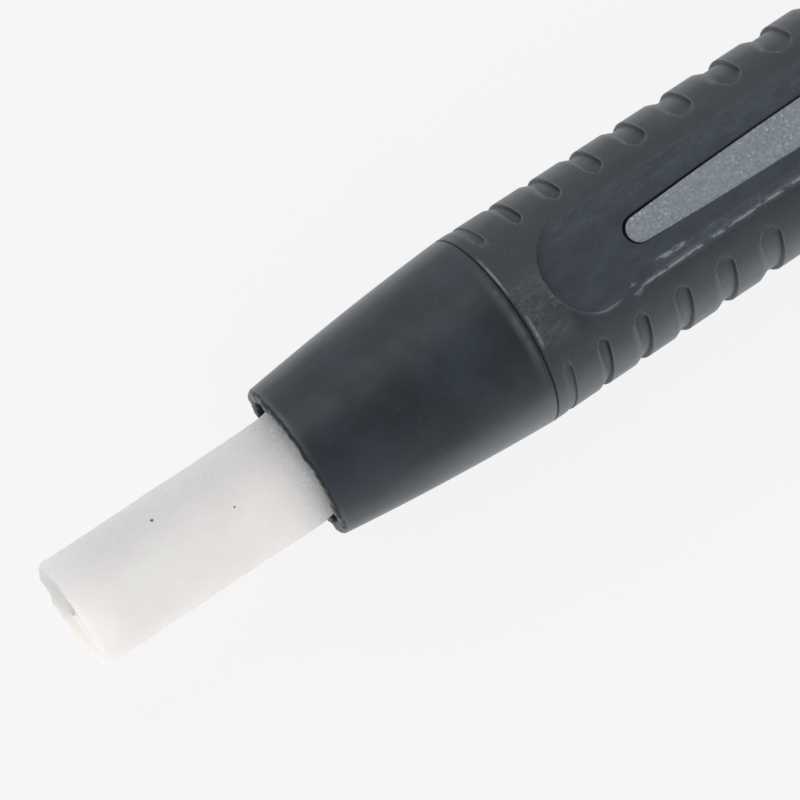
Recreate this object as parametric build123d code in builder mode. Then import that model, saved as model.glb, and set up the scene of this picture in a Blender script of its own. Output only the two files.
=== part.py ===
"""Lens cleaning pen: a clutch holder for a 7 mm cleaning stick.

The pen lies along X with its cleaning stick towards -X and its clip up, on Z = 0.
Every piece is placed by its distance behind the nose's mouth and its radius from
the pen's axis, in millimetres.
"""

from build123d import *

import os
from math import cos, pi, radians, sin, sqrt, tan

# --- clearances and walls shared by the pieces ---------------------------------
SLIDE_GAP = 0.05  # round a piece that slides in another
RUN_GAP = 0.1  # round a piece that only has to pass

# --- cleaning stick ---------------------------------------------------------
STICK_RADIUS = 3.5
STICK_LENGTH = 78.0
STICK_OUT = 16.0  # how far the stick stands out of the mouth at rest
STICK_END_BEVEL = 0.35

# --- carrier tube, barrel and grip, each a wall round the one before ----------
TUBE_GAP = 0.06  # round the stick
TUBE_WALL = 0.34
BARREL_WALL = 0.75
GRIP_WALL = 1.35
THREAD_RISE = 0.15  # the threads stand this far over the barrel
TUBE_SPARE = 1.0  # behind the stick when it is pushed right in
PLUG_LENGTH = 5.0
PLUG_FLANGE = 1.0

# --- nose cone --------------------------------------------------------------
NOSE_LENGTH = 14.0
MOUTH_GAP = 0.6  # round the stick
MOUTH_RIM = 0.76  # wall at the mouth
MOUTH_DEPTH = 1.6
NOSE_BULGE = 0.12  # how far the cone's side is crowned beyond straight
NOSE_WALL = 0.55  # thinnest wall, round the clutch cavity
LIP_ROUND = 0.22
MOUTH_SLANT = 9.0  # degrees, the upper lip reaching forward
RETAINER_LENGTH = 1.1
RETAINER_GAP = 0.08

# --- clutch -------------------------------------------------------------------
PRESS_TRAVEL = 2.0  # the button's stroke
CHUCK_STOP_GAP = 0.3  # left in front of the chuck at full stroke
CHUCK_HEAD_RISE = 0.45
CHUCK_HEAD_LENGTH = 2.4
CHUCK_LENGTH = 11.0
CHUCK_ROOT = 3.0  # uncut shank that joins the jaws
JAW_SLIT = 0.6
JAWS = 3
RING_STEP_BACK = 0.2  # from the chuck's head to the clutch ring
RING_LENGTH = 2.0

# --- rubber grip ------------------------------------------------------------
GRIP_WAIST = 0.15  # how far the grip draws in at its middle
HUMP_LENGTH = 2.39  # from a scoop's wall to the next scoop's floor
SCOOP_COUNT = 16  # along each side, with lengths mirrored about the grip's middle
SCOOP_FIRST = 0.05
SCOOP_GROWTH = 0.175  # each scoop's floor is this much longer than the one before
SCOOP_DEPTH = 0.28
SCOOP_RAMP = 0.6  # from a hump's top down to the floor, in front of each scoop
SCOOP_HALF_ANGLE = 45.0  # how far a scoop reaches round the side, each way
GRIP_END_LAND = 1.39  # from a sleeve end to the first scoop's floor
GRIP_EDGE = 0.16
FACET_WIDTH = 6.08
FACET_LAND = 2.4  # from a sleeve end to the facet's round end

# --- inlays in the facets ---------------------------------------------------
INLAY_END_LAND = 8.2  # from a sleeve end to the inlay's round end
INLAY_END_WIDTH = 1.58
INLAY_MIDDLE_WIDTH = 2.5
INLAY_GAP = 0.17
INLAY_SUNK = 0.12

# --- centre ring and rear barrel ----------------------------------------------
CENTRE_RING_LENGTH = 2.0
CENTRE_RING_EDGE = 0.32
BARREL_TAIL = 7.0  # how far the front barrel reaches into the rear barrel
REAR_STEP = 0.2  # from the centre ring down to the rear barrel
TAIL_ROOM = 11.03  # from the tube's plug to the bulkhead
CHAMBER_GAP = 0.4  # round the tube
TAIL_WALL = 0.7  # round the chamber, under the collar
TAIL_SHOULDER = 0.6
TAIL_SPIGOT_LENGTH = 3.3
BULKHEAD = 2.0
BULKHEAD_BACK = 2.7  # from the bulkhead's back to the rear barrel's shoulder
O_RING_SECTION = 0.38
O_RING_FROM_END = 2.2

# --- tail ---------------------------------------------------------------------
COLLAR_LENGTH = 5.0
COLLAR_GAP = 0.12  # round the button
COLLAR_SIDES = 8
COLLAR_EDGE = 0.45
BUTTON_FLANGE_RISE = 0.3
BUTTON_FLANGE_LENGTH = 1.5
BUTTON_OUT = 8.5
BUTTON_WALL = 0.9
BUTTON_ROOF = 3.0
BUTTON_EDGE = 0.6
DISC_RIM = 1.2
DISC_THICKNESS = 0.8
ROD_RADIUS = 1.6
ROD_SOCKET = 1.0  # how deep the rod sits in the button's roof
WIRE = 0.5
COILS = 8
WASHER_THICKNESS = 0.5

# --- clip -----------------------------------------------------------------------
CLIP_PIN_FROM_END = 9.5  # in front of the rear barrel's shoulder
CLIP_PIN_RISE = 2.4  # over the rear barrel's tail
CLIP_PIN_RADIUS = 0.7
CLIP_PIN_GAP = 0.06
CLIP_WIDTH = 4.0
CLIP_TIP_WIDTH = 2.6
CLIP_TIP_FROM_RING = 1.0  # behind the centre ring
CLIP_THICKNESS = 1.3
CLIP_BOSS = 1.5
CLIP_PAD_LENGTH = 1.6
CLIP_PAD_GAP = 0.2
CLIP_NECK = 2.5  # where the underside meets the boss, in boss radii from the pin
CLIP_LEVER = 8.3
EAR_THICKNESS = 1.2
EAR_GAP = 0.15
EAR_FOOT_HALF = 2.2
EAR_RIM = 0.9  # round the pin
CLIP_WIRE = 0.36
CLIP_COILS = 4
CLIP_SPRING_RADIUS = 1.15
CLIP_SPRING_FROM_PIN = 5.2
SPRING_FLOOR = 0.65  # wall left under the clip's spring

# --- radii, from the stick outwards --------------------------------------------------
TUBE_BORE = STICK_RADIUS + TUBE_GAP
TUBE_RADIUS = TUBE_BORE + TUBE_WALL
BARREL_BORE = TUBE_RADIUS + RUN_GAP
BARREL_RADIUS = BARREL_BORE + BARREL_WALL
BARREL_SPIGOT = BARREL_RADIUS + THREAD_RISE
BODY_RADIUS = BARREL_RADIUS + GRIP_WALL
MOUTH_RADIUS = STICK_RADIUS + MOUTH_GAP
MOUTH_OUTER_RADIUS = MOUTH_RADIUS + MOUTH_RIM
CHUCK_HEAD_RADIUS = TUBE_RADIUS + CHUCK_HEAD_RISE
REAR_FRONT_RADIUS = BODY_RADIUS - REAR_STEP
CHAMBER_RADIUS = TUBE_RADIUS + CHAMBER_GAP
TAIL_SPIGOT_RADIUS = CHAMBER_RADIUS + TAIL_WALL
REAR_TAIL_RADIUS = TAIL_SPIGOT_RADIUS + TAIL_SHOULDER
BUTTON_FLANGE = CHAMBER_RADIUS - RUN_GAP
BUTTON_RADIUS = BUTTON_FLANGE - BUTTON_FLANGE_RISE
BUTTON_BORE = BUTTON_RADIUS - BUTTON_WALL
COLLAR_BORE = BUTTON_RADIUS + COLLAR_GAP
DISC_RADIUS = BUTTON_RADIUS - DISC_RIM
ROD_BORE = ROD_RADIUS + RUN_GAP
SPRING_RADIUS = (ROD_RADIUS + BUTTON_BORE) / 2
CLIP_PIN_HEIGHT = REAR_TAIL_RADIUS + CLIP_PIN_RISE
FACET_HEIGHT = sqrt(BODY_RADIUS**2 - (FACET_WIDTH / 2) ** 2)

# --- stations along the pen, behind the mouth ---------------------------------------
CAVITY_START = MOUTH_DEPTH + RETAINER_LENGTH
CHUCK_FRONT = CAVITY_START + PRESS_TRAVEL + CHUCK_STOP_GAP
CHUCK_BACK = CHUCK_FRONT + CHUCK_LENGTH
CLUTCH_RING_START = CHUCK_FRONT + CHUCK_HEAD_LENGTH + RING_STEP_BACK
BARREL_FRONT = CLUTCH_RING_START + RING_LENGTH
TUBE_END = STICK_LENGTH + TUBE_SPARE + PLUG_LENGTH
SCOOP_LENGTHS = [SCOOP_FIRST + SCOOP_GROWTH * n for n in range(SCOOP_COUNT // 2)]
SCOOP_LENGTHS += SCOOP_LENGTHS[::-1]
GRIP_LENGTH = 2 * GRIP_END_LAND + sum(SCOOP_LENGTHS) + (SCOOP_COUNT - 1) * HUMP_LENGTH
GRIP_START = NOSE_LENGTH
GRIP_END = GRIP_START + GRIP_LENGTH
GRIP_MIDDLE = (GRIP_START + GRIP_END) / 2
REAR_START = GRIP_END + CENTRE_RING_LENGTH
BARREL_END = REAR_START + BARREL_TAIL
BULKHEAD_START = TUBE_END + PLUG_FLANGE + TAIL_ROOM
BULKHEAD_END = BULKHEAD_START + BULKHEAD
REAR_END = BULKHEAD_END + BULKHEAD_BACK
COLLAR_LIP = REAR_END + TAIL_SPIGOT_LENGTH
COLLAR_END = REAR_END + COLLAR_LENGTH
FLANGE_BACK = COLLAR_LIP - RUN_GAP
FLANGE_FRONT = FLANGE_BACK - BUTTON_FLANGE_LENGTH
BUTTON_END = COLLAR_END + BUTTON_OUT
BUTTON_ROOF_FRONT = BUTTON_END - BUTTON_ROOF
CLIP_PIN = REAR_END - CLIP_PIN_FROM_END
CLIP_TIP = REAR_START + CLIP_TIP_FROM_RING
CLIP_TAIL = CLIP_PIN + CLIP_LEVER

# --- the pen in its own frame: middle of its length at X = 0, lowest edge at Z = 0 ------
AXIS_HEIGHT = BODY_RADIUS
MOUTH_X = (STICK_OUT - BUTTON_END) / 2
LENGTHWISE = Plane(origin=(MOUTH_X, 0, AXIS_HEIGHT), x_dir=(1, 0, 0), z_dir=(0, -1, 0))
PEN_AXIS = Axis((MOUTH_X, 0, AXIS_HEIGHT), (1, 0, 0))


def across(station):
    """The plane square to the pen at a station: its x is +Y, its y is up."""
    origin = (MOUTH_X + station, 0, AXIS_HEIGHT)
    return Plane(origin=origin, x_dir=(0, 1, 0), z_dir=(1, 0, 0))


def above(height):
    """The level plane at a height over the pen's axis: its x is the station."""
    return Plane.XY.offset(AXIS_HEIGHT + height).move(Location((MOUTH_X, 0, 0)))


def section(*corners):
    """A closed outline of (station, radius) corners on the lengthwise plane."""
    with BuildSketch(LENGTHWISE) as drawn:
        with BuildLine():
            Polyline(*corners, close=True)
        make_face()
    return drawn.sketch


def sleeve_section(start, end, outer, inner):
    """The section of a plain round sleeve between two stations."""
    return section((start, inner), (end, inner), (end, outer), (start, outer))


def slide_fit(radius):
    """The bore that a sliding piece of this radius runs in."""
    return radius + SLIDE_GAP


def rear_radius(station):
    """The rear barrel's outer radius at a station."""
    share = (station - REAR_START) / (REAR_END - REAR_START)
    return REAR_FRONT_RADIUS + share * (REAR_TAIL_RADIUS - REAR_FRONT_RADIUS)


def nose_radius(station):
    """The nose cone's outer radius, straight taper plus its crown."""
    share = station / NOSE_LENGTH
    straight = MOUTH_OUTER_RADIUS + share * (BODY_RADIUS - MOUTH_OUTER_RADIUS)
    return straight + 4 * NOSE_BULGE * share * (1 - share)


# The stick of bonded cleaning compound, bevelled where it meets the glass.
with BuildPart() as cleaning_stick:
    with BuildSketch(across(-STICK_OUT)):
        Circle(STICK_RADIUS)
    extrude(amount=STICK_LENGTH)
    chamfer(cleaning_stick.edges().filter_by(GeomType.CIRCLE), STICK_END_BEVEL)


# The nose cone: crowned outside, with a slanted mouth, a clutch cavity and a threaded socket.
CAVITY_RADIUS = nose_radius(CAVITY_START) - NOSE_WALL
MOUTH_REACH = MOUTH_OUTER_RADIUS * tan(radians(MOUTH_SLANT))
MOUTH_LEAN = (cos(radians(MOUTH_SLANT)), 0, sin(radians(MOUTH_SLANT)))
MOUTH_PLANE = Plane(origin=(MOUTH_X, 0, AXIS_HEIGHT), x_dir=(0, 1, 0), z_dir=MOUTH_LEAN)
with BuildPart() as nose_cone:
    with BuildSketch(LENGTHWISE):
        with BuildLine():
            ThreePointArc(
                (-MOUTH_REACH, nose_radius(-MOUTH_REACH)),
                (NOSE_LENGTH / 2, nose_radius(NOSE_LENGTH / 2)),
                (NOSE_LENGTH, BODY_RADIUS),
            )
            Polyline(
                (NOSE_LENGTH, BODY_RADIUS),
                (NOSE_LENGTH, BARREL_SPIGOT),
                (CLUTCH_RING_START, BARREL_SPIGOT),
                (CLUTCH_RING_START, CAVITY_RADIUS),
                (MOUTH_DEPTH, CAVITY_RADIUS),
                (MOUTH_DEPTH, MOUTH_RADIUS),
                (-MOUTH_REACH, MOUTH_RADIUS),
                (-MOUTH_REACH, nose_radius(-MOUTH_REACH)),
            )
        make_face()
    revolve(axis=PEN_AXIS)
    split(bisect_by=MOUTH_PLANE, keep=Keep.TOP)
    fillet(nose_cone.faces().sort_by(Axis.X)[0].edges(), LIP_ROUND)
    seam_edge = nose_cone.edges().filter_by(GeomType.CIRCLE).group_by(Axis.X)[-1]
    chamfer(seam_edge.sort_by(SortBy.RADIUS)[-1], GRIP_EDGE)


# The rubber ring behind the mouth that steadies the stick.
with BuildPart() as stick_retainer_ring:
    bore = STICK_RADIUS + RETAINER_GAP
    revolve(sleeve_section(MOUTH_DEPTH, CAVITY_START, CAVITY_RADIUS, bore), axis=PEN_AXIS)
    bore_edges = stick_retainer_ring.edges().filter_by(GeomType.CIRCLE).group_by(SortBy.RADIUS)[0]
    fillet(bore_edges, RETAINER_LENGTH / 4)


# The clutch ring closes the chuck's jaws: its bore is a cone that narrows rearward.
RING_BORE_BACK = TUBE_RADIUS + 2 * SLIDE_GAP
RING_BORE_FRONT = CHUCK_HEAD_RADIUS + SLIDE_GAP
with BuildPart() as clutch_ring:
    profile = section(
        (CLUTCH_RING_START, RING_BORE_FRONT),
        (BARREL_FRONT, RING_BORE_BACK),
        (BARREL_FRONT, BARREL_SPIGOT),
        (CLUTCH_RING_START, BARREL_SPIGOT),
    )
    revolve(profile, axis=PEN_AXIS)


# The chuck: a collet whose head is drawn back into the clutch ring.
with BuildPart() as chuck:
    profile = section(
        (CHUCK_FRONT, slide_fit(STICK_RADIUS)),
        (CHUCK_FRONT, CHUCK_HEAD_RADIUS),
        (CHUCK_FRONT + CHUCK_HEAD_LENGTH, CHUCK_HEAD_RADIUS),
        (BARREL_FRONT - SLIDE_GAP, TUBE_RADIUS),
        (CHUCK_BACK, TUBE_RADIUS),
        (CHUCK_BACK, slide_fit(STICK_RADIUS)),
    )
    revolve(profile, axis=PEN_AXIS)
    with BuildSketch(across(CHUCK_FRONT)):
        with PolarLocations(CHUCK_HEAD_RADIUS, JAWS, start_angle=90):
            Rectangle(2 * CHUCK_HEAD_RADIUS, JAW_SLIT)
    extrude(amount=CHUCK_LENGTH - CHUCK_ROOT, mode=Mode.SUBTRACT)


# The thin metal tube that carries the chuck and holds the stick.
with BuildPart() as carrier_tube:
    revolve(sleeve_section(CHUCK_BACK, TUBE_END, TUBE_RADIUS, TUBE_BORE), axis=PEN_AXIS)


# The plug that closes the tube's tail and takes the pusher rod.
with BuildPart() as tube_plug:
    profile = section(
        (TUBE_END - PLUG_LENGTH, ROD_RADIUS),
        (TUBE_END - PLUG_LENGTH, TUBE_BORE),
        (TUBE_END, TUBE_BORE),
        (TUBE_END, TUBE_RADIUS),
        (TUBE_END + PLUG_FLANGE, TUBE_RADIUS),
        (TUBE_END + PLUG_FLANGE, ROD_RADIUS),
    )
    revolve(profile, axis=PEN_AXIS)


# The rod from the plug to the push button.
ROD_FRONT = TUBE_END - PLUG_LENGTH
ROD_BACK = BUTTON_ROOF_FRONT + ROD_SOCKET
with BuildPart() as pusher_rod:
    with BuildSketch(across(ROD_FRONT)):
        Circle(ROD_RADIUS)
    extrude(amount=ROD_BACK - ROD_FRONT)


# The front barrel runs from the nose's thread, under the grip, into the rear barrel.
O_RING_STATION = BARREL_END - O_RING_FROM_END
GROOVE_FLOOR = BARREL_RADIUS - O_RING_SECTION - SLIDE_GAP
GROOVE_HALF = O_RING_SECTION / 2 + SLIDE_GAP
with BuildPart() as front_barrel:
    profile = section(
        (BARREL_FRONT, BARREL_BORE),
        (BARREL_FRONT, BARREL_SPIGOT),
        (NOSE_LENGTH, BARREL_SPIGOT),
        (NOSE_LENGTH, BARREL_RADIUS),
        (O_RING_STATION - GROOVE_HALF, BARREL_RADIUS),
        (O_RING_STATION - GROOVE_HALF, GROOVE_FLOOR),
        (O_RING_STATION + GROOVE_HALF, GROOVE_FLOOR),
        (O_RING_STATION + GROOVE_HALF, BARREL_RADIUS),
        (BARREL_END, BARREL_RADIUS),
        (BARREL_END, BARREL_BORE),
    )
    revolve(profile, axis=PEN_AXIS)


def leaf_outline(height, gap):
    """A slender leaf with round ends: an inlay's outline, grown by a gap all round."""
    end = INLAY_END_WIDTH / 2 + gap
    middle = INLAY_MIDDLE_WIDTH / 2 + gap
    reach = (GRIP_LENGTH - INLAY_END_WIDTH) / 2 - INLAY_END_LAND
    front, back = GRIP_MIDDLE - reach, GRIP_MIDDLE + reach
    with BuildSketch(above(height)) as drawn:
        with BuildLine():
            ThreePointArc((front, end), (GRIP_MIDDLE, middle), (back, end))
            ThreePointArc((back, end), (back + end, 0), (back, -end))
            ThreePointArc((back, -end), (GRIP_MIDDLE, -middle), (front, -end))
            ThreePointArc((front, -end), (front - end, 0), (front, end))
        make_face()
    return drawn.sketch


def grip_radius(station):
    """The grip's outer radius: full at its ends, drawn in at its middle."""
    share = 2 * (station - GRIP_MIDDLE) / GRIP_LENGTH
    return BODY_RADIUS - GRIP_WAIST * (1 - share**2)


def scoop_profiles(side):
    """The lengthwise sections of one side's scoops: a ramp, a floor and a steep rear wall."""
    start_angle = -90 * side - SCOOP_HALF_ANGLE
    clear = BODY_RADIUS + SCOOP_DEPTH
    front = GRIP_START + GRIP_END_LAND
    with BuildSketch(LENGTHWISE.rotated((start_angle, 0, 0))) as drawn:
        for length in SCOOP_LENGTHS:
            top = front - SCOOP_RAMP
            back = front + length
            floor = grip_radius(front) - SCOOP_DEPTH
            with BuildLine():
                Polyline(
                    (top, grip_radius(top)),
                    (front, floor),
                    (back, floor),
                    (back, clear),
                    (top, clear),
                    close=True,
                )
            make_face()
            front = back + HUMP_LENGTH
    return drawn.sketch


# The moulded rubber grip: two facets, a leaf-shaped slot in each, and scooped sides.
with BuildPart() as grip_sleeve:
    with BuildSketch(LENGTHWISE):
        with BuildLine():
            ThreePointArc(
                (GRIP_START + GRIP_EDGE, BODY_RADIUS),
                (GRIP_MIDDLE, grip_radius(GRIP_MIDDLE)),
                (GRIP_END - GRIP_EDGE, BODY_RADIUS),
            )
            Polyline(
                (GRIP_END - GRIP_EDGE, BODY_RADIUS),
                (GRIP_END, BODY_RADIUS - GRIP_EDGE),
                (GRIP_END, BARREL_RADIUS),
                (GRIP_START, BARREL_RADIUS),
                (GRIP_START, BODY_RADIUS - GRIP_EDGE),
                (GRIP_START + GRIP_EDGE, BODY_RADIUS),
            )
        make_face()
    revolve(axis=PEN_AXIS)
    for side in (1, -1):
        with BuildSketch(above(side * FACET_HEIGHT)):
            with Locations((GRIP_MIDDLE, 0)):
                SlotOverall(GRIP_LENGTH - 2 * FACET_LAND, FACET_WIDTH)
        extrude(amount=side * BODY_RADIUS, mode=Mode.SUBTRACT)
        slot = leaf_outline(side * BODY_RADIUS, INLAY_GAP)
        extrude(slot, amount=-side * BODY_RADIUS, mode=Mode.SUBTRACT)
        scoops = scoop_profiles(side)
        revolve(scoops, axis=PEN_AXIS, revolution_arc=2 * SCOOP_HALF_ANGLE, mode=Mode.SUBTRACT)


def inlay(side):
    """A leaf-shaped inlay that sits on the barrel in a facet's slot."""
    with BuildPart() as piece:
        face = leaf_outline(side * (FACET_HEIGHT - INLAY_SUNK), 0)
        extrude(face, amount=-side * FACET_HEIGHT / 2)
        top_edges = piece.edges().group_by(Axis.Z)[-1 if side > 0 else 0]
        fillet(top_edges, INLAY_SUNK)
        with BuildSketch(across(GRIP_START)):
            Circle(BARREL_RADIUS)
        extrude(amount=GRIP_LENGTH, mode=Mode.SUBTRACT)
    return piece


top_inlay = inlay(1)
bottom_inlay = inlay(-1)


# The metal trim ring between the grip and the rear barrel.
with BuildPart() as centre_ring:
    revolve(sleeve_section(GRIP_END, REAR_START, BODY_RADIUS, BARREL_RADIUS), axis=PEN_AXIS)
    ring_edges = centre_ring.edges().filter_by(GeomType.CIRCLE).group_by(SortBy.RADIUS)[-1]
    fillet(ring_edges, CENTRE_RING_EDGE)


# The O-ring that keeps the rear barrel's joint from working loose.
with BuildPart() as barrel_o_ring:
    with BuildSketch(LENGTHWISE):
        with Locations((O_RING_STATION, BARREL_RADIUS - O_RING_SECTION / 2 - SLIDE_GAP / 2)):
            Circle(O_RING_SECTION / 2)
    revolve(axis=PEN_AXIS)


# The rear barrel: clip ears, tube chamber, bulkhead for the spring and button chamber.
EAR_INNER = CLIP_WIDTH / 2 + EAR_GAP
EAR_OUTER = EAR_INNER + EAR_THICKNESS
EAR_RADIUS = CLIP_PIN_RADIUS + EAR_RIM
CLIP_SPRING_STATION = CLIP_PIN + CLIP_SPRING_FROM_PIN
SPRING_SEAT = CHAMBER_RADIUS + SPRING_FLOOR
with BuildPart() as rear_barrel:
    for side in (1, -1):
        # Each ear narrows from its foot to a round top about the pin.
        with BuildSketch(LENGTHWISE.offset(side * EAR_INNER)):
            with Locations((CLIP_PIN, CLIP_PIN_HEIGHT)):
                Circle(EAR_RADIUS)
            with BuildLine():
                Polyline(
                    (CLIP_PIN - EAR_FOOT_HALF, 0),
                    (CLIP_PIN + EAR_FOOT_HALF, 0),
                    (CLIP_PIN + EAR_FOOT_HALF, CHAMBER_RADIUS),
                    (CLIP_PIN + EAR_RADIUS * cos(pi / 6), CLIP_PIN_HEIGHT + EAR_RADIUS / 2),
                    (CLIP_PIN - EAR_RADIUS * cos(pi / 6), CLIP_PIN_HEIGHT + EAR_RADIUS / 2),
                    (CLIP_PIN - EAR_FOOT_HALF, CHAMBER_RADIUS),
                    close=True,
                )
            make_face()
            with Locations((CLIP_PIN, CLIP_PIN_HEIGHT)):
                Circle(CLIP_PIN_RADIUS, mode=Mode.SUBTRACT)
        extrude(amount=side * EAR_THICKNESS)
    with BuildSketch(across(CLIP_PIN - EAR_FOOT_HALF)):
        Circle(CHAMBER_RADIUS)
    extrude(amount=2 * EAR_FOOT_HALF, mode=Mode.SUBTRACT)
    profile = section(
        (REAR_START, BARREL_RADIUS),
        (REAR_START, REAR_FRONT_RADIUS),
        (REAR_END, REAR_TAIL_RADIUS),
        (REAR_END, TAIL_SPIGOT_RADIUS),
        (COLLAR_LIP, TAIL_SPIGOT_RADIUS),
        (COLLAR_LIP, CHAMBER_RADIUS),
        (BULKHEAD_END, CHAMBER_RADIUS),
        (BULKHEAD_END, ROD_BORE),
        (BULKHEAD_START, ROD_BORE),
        (BULKHEAD_START, CHAMBER_RADIUS),
        (BARREL_END, CHAMBER_RADIUS),
        (BARREL_END, BARREL_RADIUS),
    )
    revolve(profile, axis=PEN_AXIS)
    with BuildSketch(above(SPRING_SEAT)):
        with Locations((CLIP_SPRING_STATION, 0)):
            Circle(CLIP_SPRING_RADIUS + CLIP_WIRE)
    extrude(amount=TAIL_SHOULDER + TAIL_WALL, mode=Mode.SUBTRACT)


# The eight-sided tail collar keeps the pen from rolling and keeps the button in.
# Its flats are as far from the axis as the grip's side, so the pen lies level on both.
with BuildPart() as tail_collar:
    with BuildSketch(across(REAR_END)):
        turn = 180 / COLLAR_SIDES
        RegularPolygon(BODY_RADIUS, COLLAR_SIDES, major_radius=False, rotation=turn)
    extrude(amount=COLLAR_LENGTH)
    fillet(tail_collar.edges().filter_by(Axis.X), COLLAR_EDGE)
    for rim in tail_collar.faces().filter_by(Axis.X):
        chamfer(rim.edges(), COLLAR_EDGE / 2)
    with BuildSketch(across(REAR_END)):
        Circle(TAIL_SPIGOT_RADIUS)
    extrude(amount=TAIL_SPIGOT_LENGTH, mode=Mode.SUBTRACT)
    with BuildSketch(across(COLLAR_LIP)):
        Circle(COLLAR_BORE)
    extrude(amount=COLLAR_LENGTH, mode=Mode.SUBTRACT)


# The push button, hollow for its spring, with a boss for the rod and a flange to stop it.
with BuildPart() as push_button:
    profile = section(
        (FLANGE_FRONT, BUTTON_BORE),
        (FLANGE_FRONT, BUTTON_FLANGE),
        (FLANGE_BACK, BUTTON_FLANGE),
        (FLANGE_BACK, BUTTON_RADIUS),
        (BUTTON_END, BUTTON_RADIUS),
        (BUTTON_END, DISC_RADIUS),
        (BUTTON_END - DISC_THICKNESS, DISC_RADIUS),
        (BUTTON_END - DISC_THICKNESS, 0),
        (ROD_BACK, 0),
        (ROD_BACK, ROD_RADIUS),
        (BUTTON_ROOF_FRONT, ROD_RADIUS),
        (BUTTON_ROOF_FRONT, BUTTON_BORE),
    )
    revolve(profile, axis=PEN_AXIS)
    crown = push_button.edges().filter_by(GeomType.CIRCLE).group_by(Axis.X)[-1]
    fillet(crown.sort_by(SortBy.RADIUS)[-1], BUTTON_EDGE)


# The disc set in the button's end.
with BuildPart() as button_disc:
    with BuildSketch(across(BUTTON_END - DISC_THICKNESS)):
        Circle(DISC_RADIUS)
    extrude(amount=DISC_THICKNESS)
    chamfer(button_disc.faces().sort_by(Axis.X)[-1].edges(), DISC_THICKNESS / 4)


# The washer under the return spring.
SPRING_FOOT = BULKHEAD_END + WASHER_THICKNESS
with BuildPart() as spring_washer:
    rim = BUTTON_BORE - RUN_GAP
    revolve(sleeve_section(BULKHEAD_END, SPRING_FOOT, rim, ROD_BORE), axis=PEN_AXIS)


def coil(foot, direction, length, coils, radius, wire):
    """A round-wire coil spring from its foot, its wire's ends within the length."""
    span = length - wire
    start = foot + direction * (wire / 2)
    with BuildPart() as spring:
        with BuildLine() as path:
            Helix(span / coils, span, radius, center=start, direction=direction)
        with BuildSketch(Plane(origin=path.line @ 0, z_dir=path.line % 0)):
            Circle(wire / 2)
        sweep(path=path.line, is_frenet=True)
    return spring


return_spring = coil(
    across(SPRING_FOOT).origin,
    Vector(1, 0, 0),
    BUTTON_ROOF_FRONT - SPRING_FOOT,
    COILS,
    SPRING_RADIUS,
    WIRE,
)


# The clip: a lever on a cross pin, with a pad that presses on the barrel.
CLIP_TOP = CLIP_PIN_HEIGHT + CLIP_BOSS
LEVER_UNDERSIDE = CLIP_TOP - CLIP_THICKNESS
PAD_HEIGHT = rear_radius(CLIP_TIP) + CLIP_PAD_GAP
PAD_FRONT = CLIP_TIP + CLIP_PAD_LENGTH / 3
PAD_BACK = PAD_FRONT + CLIP_PAD_LENGTH
with BuildPart() as clip_arm:
    with BuildSketch(LENGTHWISE):
        with BuildLine():
            Polyline(
                (CLIP_TAIL, LEVER_UNDERSIDE),
                (CLIP_TAIL, CLIP_TOP),
                (CLIP_PIN, CLIP_TOP),
                (CLIP_TIP + CLIP_PAD_LENGTH, PAD_HEIGHT + 2 * CLIP_THICKNESS),
                (CLIP_TIP, PAD_HEIGHT + CLIP_THICKNESS),
                (PAD_FRONT, PAD_HEIGHT),
                (PAD_BACK, PAD_HEIGHT),
                (PAD_BACK + CLIP_THICKNESS, PAD_HEIGHT + CLIP_THICKNESS),
                (CLIP_PIN - CLIP_NECK * CLIP_BOSS, LEVER_UNDERSIDE),
                (CLIP_PIN - CLIP_BOSS, CLIP_PIN_HEIGHT),
                close=True,
            )
        make_face()
        with Locations((CLIP_PIN, CLIP_PIN_HEIGHT)):
            Circle(CLIP_BOSS)
            Circle(CLIP_PIN_RADIUS + CLIP_PIN_GAP, mode=Mode.SUBTRACT)
    extrude(amount=CLIP_WIDTH / 2, both=True)
    with BuildSketch(above(0)):
        with BuildLine():
            tip, tail = CLIP_TIP_WIDTH / 2, CLIP_WIDTH / 2
            Line((CLIP_TAIL, -tail), (CLIP_TAIL, tail))
            Line((CLIP_TAIL, tail), (CLIP_PIN - CLIP_BOSS, tail))
            Line((CLIP_PIN - CLIP_BOSS, tail), (CLIP_TIP + tip, tip))
            ThreePointArc((CLIP_TIP + tip, tip), (CLIP_TIP, 0), (CLIP_TIP + tip, -tip))
            Line((CLIP_TIP + tip, -tip), (CLIP_PIN - CLIP_BOSS, -tail))
            Line((CLIP_PIN - CLIP_BOSS, -tail), (CLIP_TAIL, -tail))
        make_face()
    extrude(amount=2 * CLIP_TOP, mode=Mode.INTERSECT)


# The steel pin through the clip and its ears.
with BuildPart() as clip_pin:
    with BuildSketch(LENGTHWISE):
        with Locations((CLIP_PIN, CLIP_PIN_HEIGHT)):
            Circle(CLIP_PIN_RADIUS)
    extrude(amount=EAR_OUTER, both=True)


clip_spring = coil(
    above(SPRING_SEAT).origin + Vector(CLIP_SPRING_STATION, 0, 0),
    Vector(0, 0, 1),
    LEVER_UNDERSIDE - SPRING_SEAT,
    CLIP_COILS,
    CLIP_SPRING_RADIUS,
    CLIP_WIRE,
)


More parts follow.
